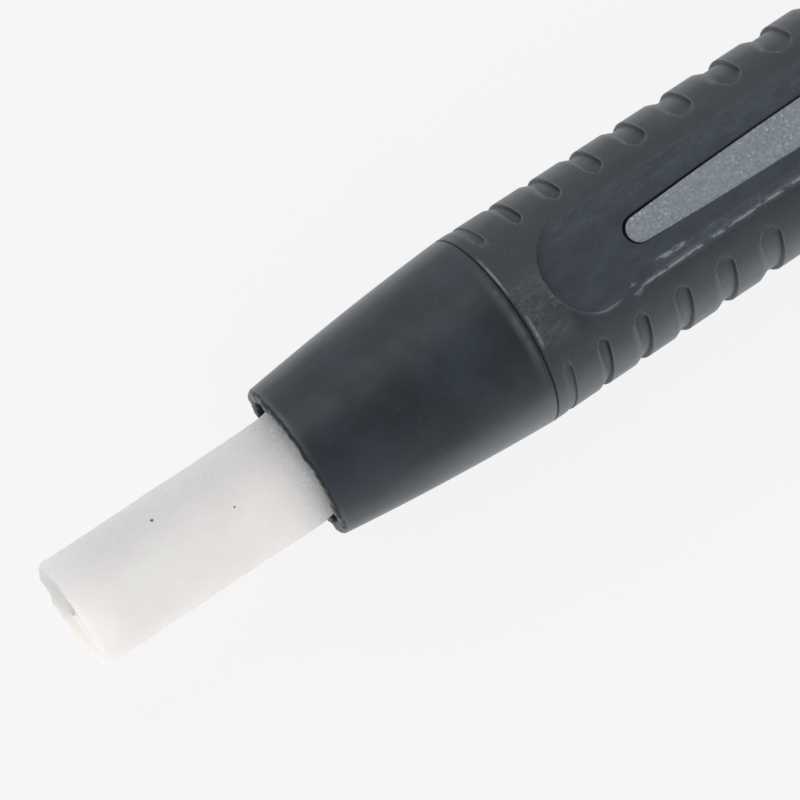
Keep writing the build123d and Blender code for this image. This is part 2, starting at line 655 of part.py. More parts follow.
PIECES = {
    "cleaning_stick": cleaning_stick,
    "nose_cone": nose_cone,
    "stick_retainer_ring": stick_retainer_ring,
    "clutch_ring": clutch_ring,
    "chuck": chuck,
    "carrier_tube": carrier_tube,
    "tube_plug": tube_plug,
    "pusher_rod": pusher_rod,
    "front_barrel": front_barrel,
    "grip_sleeve": grip_sleeve,
    "top_inlay": top_inlay,
    "bottom_inlay": bottom_inlay,
    "centre_ring": centre_ring,
    "barrel_o_ring": barrel_o_ring,
    "rear_barrel": rear_barrel,
    "tail_collar": tail_collar,
    "push_button": push_button,
    "button_disc": button_disc,
    "spring_washer": spring_washer,
    "return_spring": return_spring,
    "clip_arm": clip_arm,
    "clip_pin": clip_pin,
    "clip_spring": clip_spring,
}

os.makedirs("parts", exist_ok=True)
for label, piece in PIECES.items():
    piece.part.label = label
    export_step(piece.part, f"parts/{label}.step")
print(f"grip {GRIP_LENGTH:.2f} mm, pen {STICK_OUT + BUTTON_END:.2f} mm, mouth at X {MOUTH_X:.3f}")
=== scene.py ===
# %% [markdown]
# # A lens cleaning pen, dressed for its portrait
#
# The pen's metal, plastic and rubber pieces arrive as a CAD frame: every piece sits at its real
# size, in metres, with the pen lying along X. This lesson gives them their looks. The pieces that
# the CAD draws well enough keep their meshes and get a finish. The ones that are touched and
# looked at, such as the rubber grip, are drawn again here as finer surfaces in the same place.

import math

import bmesh
import bpy
import numpy as np
from mathutils import Matrix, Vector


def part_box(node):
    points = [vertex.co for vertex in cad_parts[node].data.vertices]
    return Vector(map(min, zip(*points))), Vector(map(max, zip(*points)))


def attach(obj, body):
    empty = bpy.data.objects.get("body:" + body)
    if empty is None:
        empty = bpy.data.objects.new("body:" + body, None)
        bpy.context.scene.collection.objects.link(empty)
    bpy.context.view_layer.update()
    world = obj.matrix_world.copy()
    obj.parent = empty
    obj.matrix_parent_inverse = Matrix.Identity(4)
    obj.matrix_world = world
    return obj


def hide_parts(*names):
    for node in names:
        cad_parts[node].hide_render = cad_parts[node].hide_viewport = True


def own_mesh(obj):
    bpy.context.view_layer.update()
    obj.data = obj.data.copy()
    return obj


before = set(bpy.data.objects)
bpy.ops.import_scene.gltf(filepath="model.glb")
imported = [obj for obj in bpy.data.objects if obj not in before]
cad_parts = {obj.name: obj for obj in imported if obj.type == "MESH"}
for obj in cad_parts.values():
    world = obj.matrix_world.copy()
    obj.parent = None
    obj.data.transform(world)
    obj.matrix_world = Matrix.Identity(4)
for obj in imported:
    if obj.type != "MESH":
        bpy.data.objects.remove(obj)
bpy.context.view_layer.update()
print("CAD pieces:", len(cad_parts))

# %% [markdown]
# ## Places worked out from the frame
#
# All sizes below are millimetres, because a pen is a thing of millimetres, and a helper turns
# them into Blender's metres at the very end. A place on the pen has three numbers: its station,
# which is how far behind the nose's mouth it is, its angle round the pen's axis, counted from
# the top, and its radius. The stations of the seams come from the CAD boxes, so a pen that is
# packed again with other lengths still fits.

# %% Stations and radii
MM = 0.001
nose_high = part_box("nose_cone")[1]
grip_low, grip_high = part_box("grip_sleeve")
stick_low, stick_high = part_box("cleaning_stick")
barrel_low, barrel_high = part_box("front_barrel")

NOSE_END = 14.0
FLANK_TURN = 0.075
MOUTH_X = nose_high.x / MM - NOSE_END
STICK_SAG = 0.25
AXIS_Z = (stick_low.z + stick_high.z) / 2 / MM
GRIP_START = grip_low.x / MM - MOUTH_X
GRIP_END = grip_high.x / MM - MOUTH_X
GRIP_LENGTH = GRIP_END - GRIP_START
GRIP_MIDDLE = (GRIP_START + GRIP_END) / 2
BODY_RADIUS = (grip_high.y - grip_low.y) / 2 / MM
STICK_RADIUS = (stick_high.y - stick_low.y) / 2 / MM
STICK_START = stick_low.x / MM - MOUTH_X
STICK_END = stick_high.x / MM - MOUTH_X
SPIGOT_RADIUS = (barrel_high.y - barrel_low.y) / 2 / MM
print(f"body {2 * BODY_RADIUS:.2f} mm across, grip {GRIP_LENGTH:.2f} mm long")


# %% [markdown]
# ## Surfaces from two parameters
#
# A turned or moulded piece is a sheet of points with two parameters: rows that run along the
# pen and columns that run round it. It could also be made by hand with loop cuts, or with a
# Screw modifier, but a formula keeps every scoop of the grip alike and is easy to change. The
# whole sheet is one numpy array, so there is no loop over single points.


# %% From a grid of points to a mesh
WELD = 1e-7


def pen_points(station, angle, radius):
    """Points in millimetres at (station, angle, radius): x = mouth + station, and
    y = radius * sin(angle), z = axis + radius * cos(angle), so angle 0 is the top."""
    station, angle, radius = np.broadcast_arrays(station, angle, radius)
    return np.stack(
        [MOUTH_X + station, radius * np.sin(angle), AXIS_Z + radius * np.cos(angle)],
        axis=-1,
    )


def grid_faces(rows, columns, wrap_rows=False, wrap_columns=False):
    """Quads of a grid: corner (i, j) joins (i+1, j), (i+1, j+1) and (i, j+1).
    A wrapped direction joins its last line to its first."""
    corner = np.arange(rows * columns).reshape(rows, columns)
    below = np.roll(corner, -1, axis=0)
    right = np.roll(corner, -1, axis=1)
    both = np.roll(below, -1, axis=1)
    quads = np.stack([corner, below, both, right], axis=-1)
    quads = quads[: rows if wrap_rows else rows - 1, : columns if wrap_columns else columns - 1]
    return quads.reshape(-1, 4)


def grid_piece(name, points, wrap_rows=False, wrap_columns=False, fields=None, weld=False):
    """A piece from a grid of points in millimetres. Each field is a value for every point,
    stored as an attribute that a material can read. Welding joins the points of a pole."""
    rows, columns = points.shape[:2]
    faces = grid_faces(rows, columns, wrap_rows, wrap_columns)
    mesh = bpy.data.meshes.new(name)
    mesh.vertices.add(rows * columns)
    mesh.vertices.foreach_set("co", (points.reshape(-1) * MM).astype(np.float32))
    mesh.loops.add(faces.size)
    mesh.loops.foreach_set("vertex_index", faces.reshape(-1).astype(np.int32))
    mesh.polygons.add(len(faces))
    mesh.polygons.foreach_set("loop_start", np.arange(0, faces.size, 4, dtype=np.int32))
    for field, values in (fields or {}).items():
        attribute = mesh.attributes.new(field, "FLOAT", "POINT")
        full = np.broadcast_to(values, (rows, columns)).reshape(-1)
        attribute.data.foreach_set("value", full.astype(np.float32))
    mesh.update(calc_edges=True)
    if weld:
        joined = bmesh.new()
        joined.from_mesh(mesh)
        bmesh.ops.remove_doubles(joined, verts=joined.verts, dist=WELD)
        joined.to_mesh(mesh)
        joined.free()
    mesh.validate()
    mesh.shade_smooth()
    piece = bpy.data.objects.new(name, mesh)
    bpy.context.scene.collection.objects.link(piece)
    print(f"{name}: {len(faces)} faces")
    return piece


def place(piece, body, material, slot, *replaced):
    """Gives a piece its finish, its body and the CAD nodes that it stands for."""
    piece.data.materials.clear()
    piece.data.materials.append(material)
    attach(piece, body)
    if replaced:
        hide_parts(*replaced)


def ease(value):
    """A smooth step: 0 below 0, 1 above 1, and 3t^2 - 2t^3 between."""
    t = np.clip(value, 0.0, 1.0)
    return t * t * (3.0 - 2.0 * t)


# %% [markdown]
# ## The finishes
#
# Each finish is built from the same few procedural ideas: a base colour that drifts a little,
# a fine grain that makes the gloss uneven, and a bump that matches the grain. All of them read
# the object's own coordinates, turned into millimetres, so the pattern stays where it is on the
# pen whatever the camera does. A painted image could do the same, but it would have to be
# unwrapped and carried along with the file.


# %% A small kit for node trees
class Finish:
    """A material with a principled shader, and short words for the nodes that feed it."""

    def __init__(self, name, **fixed):
        self.material = bpy.data.materials.new(name)
        self.material.use_nodes = True
        self.tree = self.material.node_tree
        self.shader = self.tree.nodes["Principled BSDF"]
        for socket, value in fixed.items():
            self.shader.inputs[socket.replace("_", " ")].default_value = value
        coordinates = self.tree.nodes.new("ShaderNodeTexCoord")
        millimetres = self.tree.nodes.new("ShaderNodeMapping")
        millimetres.inputs["Scale"].default_value = (1 / MM, 1 / MM, 1 / MM)
        self.link(coordinates.outputs["Object"], millimetres.inputs["Vector"])
        self.place = millimetres.outputs["Vector"]

    def link(self, source, target):
        self.tree.links.new(source, target)

    def value(self, socket, number):
        """Puts a number, a colour or another node's output into a socket."""
        if isinstance(number, bpy.types.NodeSocket):
            self.link(number, socket)
        else:
            socket.default_value = number

    def stretched(self, scale, shift=(0, 0, 0)):
        """The place on the pen, stretched and shifted, for a pattern with a direction."""
        node = self.tree.nodes.new("ShaderNodeMapping")
        self.link(self.place, node.inputs["Vector"])
        node.inputs["Scale"].default_value = scale
        node.inputs["Location"].default_value = shift
        return node.outputs["Vector"]

    def noise(self, per_mm, detail=3.0, rough=0.55, where=None):
        """Cloudy noise with features about 1 / per_mm millimetres wide."""
        node = self.tree.nodes.new("ShaderNodeTexNoise")
        self.link(where or self.place, node.inputs["Vector"])
        node.inputs["Scale"].default_value = per_mm
        node.inputs["Detail"].default_value = detail
        node.inputs["Roughness"].default_value = rough
        return node.outputs["Fac"]

    def cells(self, per_mm, output="Distance", where=None):
        """Voronoi cells, for flakes and specks."""
        node = self.tree.nodes.new("ShaderNodeTexVoronoi")
        self.link(where or self.place, node.inputs["Vector"])
        node.inputs["Scale"].default_value = per_mm
        return node.outputs[output]

    def field(self, name):
        """An attribute of the piece."""
        node = self.tree.nodes.new("ShaderNodeAttribute")
        node.attribute_name = name
        return node.outputs["Fac"]

    def math(self, operation, first, second=0.0):
        """One sum or product of two numbers or outputs."""
        node = self.tree.nodes.new("ShaderNodeMath")
        node.operation = operation
        self.value(node.inputs[0], first)
        self.value(node.inputs[1], second)
        return node.outputs["Value"]

    def band(self, source, low, high, to_low=0.0, to_high=1.0):
        """Maps a source from low..high smoothly on to to_low..to_high."""
        node = self.tree.nodes.new("ShaderNodeMapRange")
        node.interpolation_type = "SMOOTHSTEP"
        self.link(source, node.inputs["Value"])
        node.inputs["From Min"].default_value = low
        node.inputs["From Max"].default_value = high
        node.inputs["To Min"].default_value = to_low
        node.inputs["To Max"].default_value = to_high
        return node.outputs["Result"]

    def mix(self, share, first, second):
        """A colour between first and second."""
        node = self.tree.nodes.new("ShaderNodeMix")
        node.data_type = "RGBA"
        self.value(node.inputs["Factor"], share)
        self.value(node.inputs["A"], first)
        self.value(node.inputs["B"], second)
        return node.outputs["Result"]

    def speck(self, station, degrees, size):
        """1 within a small distance of a spot on the stick's surface, 0 elsewhere."""
        turn = math.radians(degrees)
        spot = pen_points(station, turn, STICK_RADIUS - 0.03) - (0.0, STICK_SAG, 0.0)
        node = self.tree.nodes.new("ShaderNodeVectorMath")
        node.operation = "DISTANCE"
        self.link(self.place, node.inputs[0])
        node.inputs[1].default_value = spot.tolist()
        return self.band(node.outputs["Value"], size * 1.4, size * 0.8)

    def bump(self, height, depth_mm, strength=1.0, under=None):
        """A bump of the given depth in millimetres, on top of another bump."""
        node = self.tree.nodes.new("ShaderNodeBump")
        node.inputs["Strength"].default_value = strength
        node.inputs["Distance"].default_value = depth_mm * MM
        self.value(node.inputs["Height"], height)
        if under is not None:
            self.link(under, node.inputs["Normal"])
        return node.outputs["Normal"]

    def feed(self, **inputs):
        """Links outputs to the shader's sockets."""
        for socket, source in inputs.items():
            self.value(self.shader.inputs[socket.replace("_", " ")], source)
        return self.material


def shade(red, green, blue, alpha=1.0):
    """A colour given as screen values of 0 to 255, turned into light."""
    screen = np.array([red, green, blue]) / 255.0
    light = np.where(screen <= 0.04045, screen / 12.92, ((screen + 0.055) / 1.055) ** 2.4)
    return (*light.tolist(), alpha)


# %% [markdown]
# ## Soft-touch rubber
#
# The nose and the rear barrel have a matte, slightly velvety coat. Seen straight on it is a
# deep slate, and towards its outline it pales, as velvet does. Fresnel gloss alone makes a
# sharper rim than that, so a sheen layer does the paling, with a wide roughness. Handling
# leaves faint cloudy smears and a few pale motes of dust. On the nose, painted sheen pales both
# flanks further, a painted highlight runs along the lip and before the seam, and painted shade
# darkens the lip's face and the seam.


# %% The soft-touch coat
def soft_touch(name, deep, pale, sheen):
    coat = Finish(
        name,
        Sheen_Weight=sheen,
        Sheen_Roughness=0.24,
        Specular_IOR_Level=0.42,
        IOR=1.5,
    )
    coat.shader.inputs["Sheen Tint"].default_value = (0.92, 0.95, 1.0, 1.0)
    cloud = coat.noise(0.22, 4.0, 0.6)
    smear = coat.noise(0.9, 5.0, 0.65, where=coat.stretched((0.35, 1.0, 1.0), (3.1, 7.7, 1.3)))
    grain = coat.noise(14.0, 3.0, 0.7)
    drift = coat.band(cloud, 0.35, 0.7)
    base = coat.mix(drift, deep, pale)
    dust = coat.cells(1.1, where=coat.stretched((1, 1, 1), (4.7, 1.9, 8.3)))
    mote = coat.math("MULTIPLY", coat.band(dust, 0.035, 0.02), 0.35)
    colour = coat.mix(mote, base, shade(168, 172, 176))
    # painted highlight: a pale line along the lip's rim and a pale band on top before the seam
    painted_highlight = coat.math("MULTIPLY", coat.field("painted_highlight"), coat.band(smear, 0.3, 0.6, 0.4, 1.0))
    colour = coat.mix(painted_highlight, colour, shade(112, 116, 119))
    # painted sheen: paler colour towards both flanks
    colour = coat.mix(coat.field("flank"), colour, shade(128, 133, 138))
    # painted shade: near black on the lip's face and in the seam
    colour = coat.mix(coat.field("painted_shade"), colour, shade(14, 15, 17))
    drier = coat.math("MULTIPLY", grain, 0.08)
    gloss = coat.math("ADD", coat.band(smear, 0.3, 0.75, 0.4, 0.5), drier)
    relief = coat.bump(grain, 0.012, 0.35)
    relief = coat.bump(cloud, 0.12, 0.12, under=relief)
    return coat.feed(Base_Color=colour, Roughness=gloss, Normal=relief)


nose_coat = soft_touch("nose_soft_touch", shade(28, 36, 44), shade(43, 53, 62), 0.42)
rear_coat = soft_touch("rear_soft_touch", shade(33, 39, 45), shade(46, 53, 60), 0.36)
print("soft-touch coats made")

# %% [markdown]
# ## Grip rubber
#
# The grip is the same slate rubber with a drier surface. It takes its marks from the mesh: the
# grid stores how near each point is to a scoop's rim, to the seam or to the facet's edge, and the
# material turns those fields into painted highlight lines on the scoops' rims, the facet's front
# arc and the seam, and into pale scuffs of wear. Painted shade darkens the foot of each scoop's
# wall, the seam and the slot, painted sheen pales both flanks, and the facet is a lighter copy of
# the rubber for the light that its flat face catches. Dust gathers in streaks along the facet's
# edge, broken up by two noises, so that no streak looks drawn.


# %% The grip's material
def grip_rubber():
    rubber = Finish(
        "grip_rubber",
        Sheen_Weight=0.3,
        Sheen_Roughness=0.24,
        Specular_IOR_Level=0.42,
        IOR=1.5,
    )
    rubber.shader.inputs["Sheen Tint"].default_value = (0.95, 0.97, 1.0, 1.0)
    cloud = rubber.noise(0.3, 4.0, 0.6)
    blotch = rubber.noise(1.6, 5.0, 0.7, where=rubber.stretched((0.4, 1, 1), (9.0, 2.0, 5.0)))
    grain = rubber.noise(16.0, 3.0, 0.7)
    speckle = rubber.noise(2.2, 5.0, 0.7, where=rubber.stretched((0.45, 1, 1), (1.0, 4.0, 2.0)))
    powder = rubber.noise(5.5, 6.0, 0.8, where=rubber.stretched((0.7, 1, 1), (5.0, 1.0, 3.0)))
    side = rubber.mix(rubber.band(cloud, 0.35, 0.7), shade(43, 49, 55), shade(50, 57, 64))
    # painted light: the facet's colour is a lighter copy of the side's rubber, for the light that its flat
    # face catches
    flat = rubber.mix(rubber.band(blotch, 0.35, 0.7), shade(50, 58, 66), shade(58, 67, 75))
    base = rubber.mix(rubber.field("facet"), side, flat)
    broken = rubber.band(speckle, 0.42, 0.55)
    scuff = rubber.math("MULTIPLY", rubber.field("scuff"), broken)
    clumps = rubber.band(blotch, 0.3, 0.7, 0.3, 1.0)
    grains = rubber.math("MULTIPLY", clumps, rubber.band(powder, 0.35, 0.62, 0.25, 1.0))
    dusty = rubber.math("MULTIPLY", rubber.field("dust"), grains)
    # painted highlight along the scoops' rims, the facet's front arc and the seam
    rim_highlight = rubber.math("MULTIPLY", rubber.field("rim"), rubber.band(blotch, 0.3, 0.6, 0.3, 1.0))
    colour = rubber.mix(rubber.math("MULTIPLY", dusty, 0.65), base, shade(100, 108, 114))
    colour = rubber.mix(rubber.math("MULTIPLY", scuff, 0.85), colour, shade(152, 158, 162))
    colour = rubber.mix(rubber.math("MULTIPLY", rim_highlight, 0.75), colour, shade(140, 142, 144))
    # painted sheen: paler colour towards both flanks
    colour = rubber.mix(rubber.field("flank"), colour, shade(126, 130, 134))
    # painted shade: near black at the foot of each scoop's wall, in the seam and on the slot's floor
    colour = rubber.mix(rubber.field("painted_shade"), colour, shade(12, 13, 15))
    motes = rubber.cells(1.3, where=rubber.stretched((1, 1, 1), (2.3, 6.1, 0.7)))
    mote = rubber.math("MULTIPLY", rubber.band(motes, 0.045, 0.025), 0.4)
    colour = rubber.mix(mote, colour, shade(170, 176, 180))
    drier = rubber.math("MULTIPLY", grain, 0.08)
    gloss = rubber.math("ADD", rubber.band(blotch, 0.3, 0.75, 0.44, 0.56), drier)
    relief = rubber.bump(grain, 0.012, 0.4)
    relief = rubber.bump(blotch, 0.06, 0.2, under=relief)
    return rubber.feed(Base_Color=colour, Roughness=gloss, Normal=relief)


rubber_finish = grip_rubber()

# %% [markdown]
# ## Metallic paint with flakes
#
# The inlays, the clip and the button's disc are painted a silver grey in which fine flakes
# glitter. A flake is one Voronoi cell: each cell's random colour tips its surface, sets its gloss
# and picks the few cells that carry a painted glint, a near-white colour, while most stay grey.


# %% The flake paint
FLAKES_PER_MM = 9.0


def flake_paint(name, body, bright):
    paint = Finish(name, Metallic=0.35, Specular_IOR_Level=0.5, Coat_Weight=0.15, Coat_Roughness=0.4)
    cell = paint.cells(FLAKES_PER_MM, output="Color")
    split = paint.tree.nodes.new("ShaderNodeSeparateColor")
    paint.link(cell, split.inputs["Color"])
    fine = paint.noise(5.0, 5.0, 0.8)
    cloud = paint.noise(0.5, 4.0, 0.6)
    # painted glint: a few cells get a near-white colour
    flash = paint.band(split.outputs["Red"], 0.9, 0.99)
    clump = paint.band(cloud, 0.42, 0.66, 0.25, 1.0)
    flake_glint = paint.math("MULTIPLY", flash, clump)
    base = paint.mix(paint.band(fine, 0.35, 0.68), body, bright)
    colour = paint.mix(paint.math("MULTIPLY", flake_glint, 0.6), base, shade(222, 230, 234))
    gloss = paint.band(split.outputs["Green"], 0.0, 1.0, 0.34, 0.56)
    relief = paint.bump(split.outputs["Blue"], 0.02, 0.35)
    relief = paint.bump(fine, 0.03, 0.25, under=relief)
    return paint.feed(Base_Color=colour, Roughness=gloss, Normal=relief)


inlay_finish = flake_paint("inlay_flake_paint", shade(130, 137, 143), shade(160, 167, 173))
clip_finish = flake_paint("clip_flake_paint", shade(96, 103, 110), shade(118, 125, 131))

# %% [markdown]
# ## The cleaning stick
#
# The stick is a pressed white compound, a little translucent, like hard wax. Light goes in and
# comes out a millimetre further on, which is what subsurface scattering is for: a plain white
# diffuse would look like chalk. A faint painted glow (emission) on its lower side and at its free
# end stands for the light that comes up through it from the pale sheet. Its skin is rough, with
# small pits, and it turns greyer towards the mouth. Painted glints sit on a few grains there and on
# the upper side, painted light tints that upper side cool, and painted shade darkens the end face's
# hollow a little.


# %% The stick's compound
def stick_compound():
    wax = Finish(
        "stick_compound",
        Subsurface_Weight=0.7,
        Subsurface_Scale=0.0015,
        Specular_IOR_Level=0.4,
        IOR=1.45,
        Sheen_Weight=0.35,
        Sheen_Roughness=0.35,
    )
    wax.shader.inputs["Subsurface Radius"].default_value = (1.0, 0.85, 0.75)
    cloud = wax.noise(0.35, 4.0, 0.6)
    fine = wax.noise(4.5, 5.0, 0.75)
    warm = wax.mix(wax.band(cloud, 0.35, 0.68), shade(248, 237, 234), shade(250, 245, 242))
    # painted light: the side towards the lamp is tinted cool
    base = wax.mix(wax.field("cool_lit_side"), warm, shade(240, 241, 243))
    # greyer towards the mouth
    grey = wax.math("MULTIPLY", wax.field("near_mouth"), wax.band(cloud, 0.2, 0.7, 0.7, 1.0))
    colour = wax.mix(grey, base, shade(230, 231, 232))
    # painted shade in the hollow of the free end
    colour = wax.mix(wax.field("end_face"), colour, shade(236, 233, 226))
    grains = wax.cells(9.0, output="Color")
    split = wax.tree.nodes.new("ShaderNodeSeparateColor")
    wax.link(grains, split.inputs["Color"])
    # painted glints: a few white grains near the mouth and on the upper side
    where = wax.math("MAXIMUM", wax.field("near_mouth"), wax.math("MULTIPLY", wax.field("cool_lit_side"), 0.6))
    painted_glint = wax.math("MULTIPLY", wax.band(split.outputs["Red"], 0.86, 0.95), where)
    colour = wax.mix(wax.math("MULTIPLY", painted_glint, 0.85), colour, (1.0, 1.0, 1.0, 1.0))
    pit = wax.math("MAXIMUM", wax.speck(-9.63, 31.6, 0.09), wax.speck(-5.36, -3.0, 0.06))
    colour = wax.mix(pit, colour, shade(92, 88, 84))
    rough_side = wax.math("ADD", wax.math("MULTIPLY", wax.field("cool_lit_side"), 0.7), 0.3)
    relief = wax.bump(wax.math("MULTIPLY", fine, rough_side), 0.24, 1.0)
    relief = wax.bump(cloud, 0.25, 0.3, under=relief)
    # painted glow: emission standing in for light coming through the stick from the sheet
    glow = wax.math("MULTIPLY", wax.field("glow"), 0.15)
    wax.shader.inputs["Emission Color"].default_value = (1.0, 0.955, 0.94, 1.0)
    gloss = wax.band(fine, 0.3, 0.7, 0.42, 0.6)
    return wax.feed(Base_Color=colour, Roughness=gloss, Normal=relief, Emission_Strength=glow)


stick_finish = stick_compound()


# %% [markdown]
# ## Metal and plastic inside
#
# The tube, the clutch, the springs and the pins are hidden while the pen is whole, but they are
# real pieces, and someone may take the casing off. Turned metal shows fine rings round the
# axis, so its noise is stretched until it is long round the pen and short along it.


# %% Turned metal, wire and moulded plastic
def turned_metal(name, dark, light, ring_per_mm=6.0, along=1.0, around=0.08):
    metal = Finish(name, Metallic=1.0)
    rings = metal.noise(ring_per_mm, 4.0, 0.7, where=metal.stretched((along, around, around)))
    patina = metal.noise(0.5, 4.0, 0.6)
    colour = metal.mix(metal.band(rings, 0.3, 0.7), dark, light)
    colour = metal.mix(metal.band(patina, 0.5, 0.8, 0.0, 0.25), colour, dark)
    relief = metal.bump(rings, 0.01, 0.3)
    gloss = metal.band(rings, 0.3, 0.7, 0.25, 0.42)
    return metal.feed(Base_Color=colour, Roughness=gloss, Normal=relief)


def moulded_plastic(name, dark, light):
    plastic = Finish(name, Specular_IOR_Level=0.5)
    cloud = plastic.noise(0.4, 4.0, 0.6)
    grain = plastic.noise(9.0, 3.0, 0.6)
    relief = plastic.bump(grain, 0.01, 0.3)
    return plastic.feed(
        Base_Color=plastic.mix(plastic.band(cloud, 0.3, 0.7), dark, light),
        Roughness=plastic.band(grain, 0.3, 0.7, 0.36, 0.5),
        Normal=relief,
    )


steel_finish = turned_metal("satin_steel", shade(150, 153, 157), shade(190, 193, 197))
wire_finish = turned_metal("spring_wire", shade(140, 142, 146), shade(186, 189, 193), ring_per_mm=9.0)
brass_finish = turned_metal("turned_brass", shade(172, 142, 84), shade(206, 176, 112))
tube_shades = shade(168, 170, 173), shade(200, 202, 205)
tube_finish = turned_metal("drawn_aluminium", *tube_shades, along=0.1, around=1.0)
plastic_finish = moulded_plastic("barrel_plastic", shade(40, 43, 47), shade(50, 54, 58))
seal_finish = moulded_plastic("seal_rubber", shade(20, 20, 21), shade(28, 28, 30))

CAD_FINISHES = {
    "stick_retainer_ring": seal_finish,
    "clutch_ring": brass_finish,
    "chuck": brass_finish,
    "carrier_tube": tube_finish,
    "tube_plug": brass_finish,
    "pusher_rod": wire_finish,
    "front_barrel": plastic_finish,
    "centre_ring": steel_finish,
    "barrel_o_ring": seal_finish,
    "rear_barrel": rear_coat,
    "tail_collar": rear_coat,
    "push_button": rear_coat,
    "button_disc": clip_finish,
    "spring_washer": wire_finish,
    "clip_arm": clip_finish,
    "clip_pin": wire_finish,
}
for node, finish in CAD_FINISHES.items():
    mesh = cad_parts[node].data
    mesh.materials.clear()
    mesh.materials.append(finish)
print("CAD pieces finished:", len(CAD_FINISHES))

# %% [markdown]
# ## The nose cone
#
# The nose is a taper with a slight crown, a thin rounded lip at the mouth, and a rounded edge at
# the seam, where the grip begins. It is a profile of (station, radius) points turned round the
# axis. A touch of unevenness at the lip keeps the mouth from looking machined, since the real
# one is moulded and has two small burrs.

# %% Turning a profile
AROUND = 192
around = np.linspace(0.0, 2.0 * np.pi, AROUND, endpoint=False)

MOUTH_OUTER = 4.86
MOUTH_INNER = 4.1
NOSE_CROWN = 0.12
LIP = 0.26
LIP_INSIDE = 0.14
SEAM_ROUND = 0.13
MOUTH_SLANT = math.tan(math.radians(9.0))
SLANT_ENDS = 4.0
RING_SEAT = 1.6
SEAT_RADIUS = 4.62
SPIGOT_FROM = 7.6


def arc(centre, radius, start, end, count):
    """Points on an arc in (station, radius), from one angle in degrees to another."""
    turn = np.radians(np.linspace(start, end, count))
    return np.stack([centre[0] + radius * np.cos(turn), centre[1] + radius * np.sin(turn)], axis=-1)


def nose_profile():
    """The nose's closed outline: the lip's two quarter rounds, then the crowned taper,
    radius = mouth + rise * t + 4 * crown * t * (1 - t), the seam's edge, and the bore back."""
    rise = BODY_RADIUS - MOUTH_OUTER
    t = np.linspace(LIP, NOSE_END - SEAM_ROUND, 60) / NOSE_END
    side = np.stack([t * NOSE_END, MOUTH_OUTER + rise * t + 4 * NOSE_CROWN * t * (1 - t)], axis=-1)
    outer_lip = arc((LIP, side[0, 1] - LIP), LIP, 180, 90, 12)
    inner_lip = arc((LIP_INSIDE, MOUTH_INNER + LIP_INSIDE), LIP_INSIDE, 270, 180, 8)
    edge = arc((NOSE_END - SEAM_ROUND, side[-1, 1] - SEAM_ROUND), SEAM_ROUND, 90, 0, 6)
    bore = np.array(
        [
            (NOSE_END, SPIGOT_RADIUS),
            (SPIGOT_FROM, SPIGOT_RADIUS),
            (SPIGOT_FROM, SEAT_RADIUS),
            (RING_SEAT, SEAT_RADIUS),
            (RING_SEAT, MOUTH_INNER),
            (LIP_INSIDE + 0.5, MOUTH_INNER),
        ]
    )
    return np.concatenate([inner_lip, outer_lip, side[1:-1], edge, bore])


profile = nose_profile()
burr = np.exp(-(((around - 0.62) / 0.05) ** 2)) + 0.8 * np.exp(-(((around - 5.35) / 0.06) ** 2))
ripple = 0.05 * np.sin(5 * around + 0.4) * np.sin(2 * around)
ripple = ripple + 0.05 * np.sin(17 * around) * np.sin(3 * around + 2)
ripple = ripple + 0.03 * np.sin(41 * around + 3 * np.sin(2 * around)) * np.sin(around * 4)
along, out = profile[:, :1], profile[:, 1:]
near_lip = np.exp(-((along / 0.35) ** 2))
station = along + near_lip * (ripple - 0.06 * burr)
station = station - MOUTH_SLANT * out * np.cos(around) * (1 - ease(along / SLANT_ENDS))
nose_points = pen_points(station, around, out)
from_top = (around + np.pi) % (2 * np.pi) - np.pi
outside = out > MOUTH_OUTER - LIP
# painted highlight: a pale line just behind the lip's rim, and a pale band on top before the seam
lip_line = np.exp(-(((along - LIP - 0.02) / 0.09) ** 2)) * outside * (0.25 + 0.2 * np.sin(3 * around))
seam_strip = np.exp(-(((along - NOSE_END + 0.42) / 0.2) ** 2)) * outside
seam_strip = seam_strip * np.exp(-(((from_top + 0.12) / 0.5) ** 2)) * 0.6
# painted shade on the lip's face inside the mouth and in the seam against the grip
lip_shade = (along < 0.16) * (out > MOUTH_INNER - 0.01) * 0.85
seam_shade = np.exp(-(((along - NOSE_END) / 0.07) ** 2)) * (out > BODY_RADIUS - 0.2)
# painted sheen: pale flanks on both sides of the view, wider on the lower side
low_side = 0.7 * ease((-np.sin(from_top + FLANK_TURN) - 0.66) / 0.36) * (0.4 + 0.6 * ease(along / NOSE_END))
high_side = 0.3 * ease((np.sin(from_top + FLANK_TURN) - 0.84) / 0.16)
nose_fields = {
    "painted_highlight": lip_line + seam_strip,
    "painted_shade": np.clip(lip_shade + seam_shade, 0, 0.9),
    "flank": (low_side + high_side) * outside,
}
nose = grid_piece("nose_cone_fine", nose_points, True, True, fields=nose_fields)
place(nose, "barrel", nose_coat, "soft_touch", "nose_cone")

# %% [markdown]
# ## The rubber grip
#
# The grip is the piece that the hand knows: a slightly waisted sleeve with a flat facet on top
# and one underneath, a leaf-shaped slot in each facet for the inlay, and a row of scoops along
# both sides. Each scoop is a crescent that falls from the hump in front of it and stops at a
# steep wall behind, with a round end towards the facet. Scoops lengthen along the pen, and the
# row is mirrored about the middle.
#
# It could be cut with Booleans, but their edges shade badly on curved rubber. Here the radius is
# a height over a grid. The grid's lines aren't evenly spaced: columns follow the slot's edge and
# the facet's edge, and rows crowd together at each scoop's wall, so the edges stay crisp without
# millions of faces.

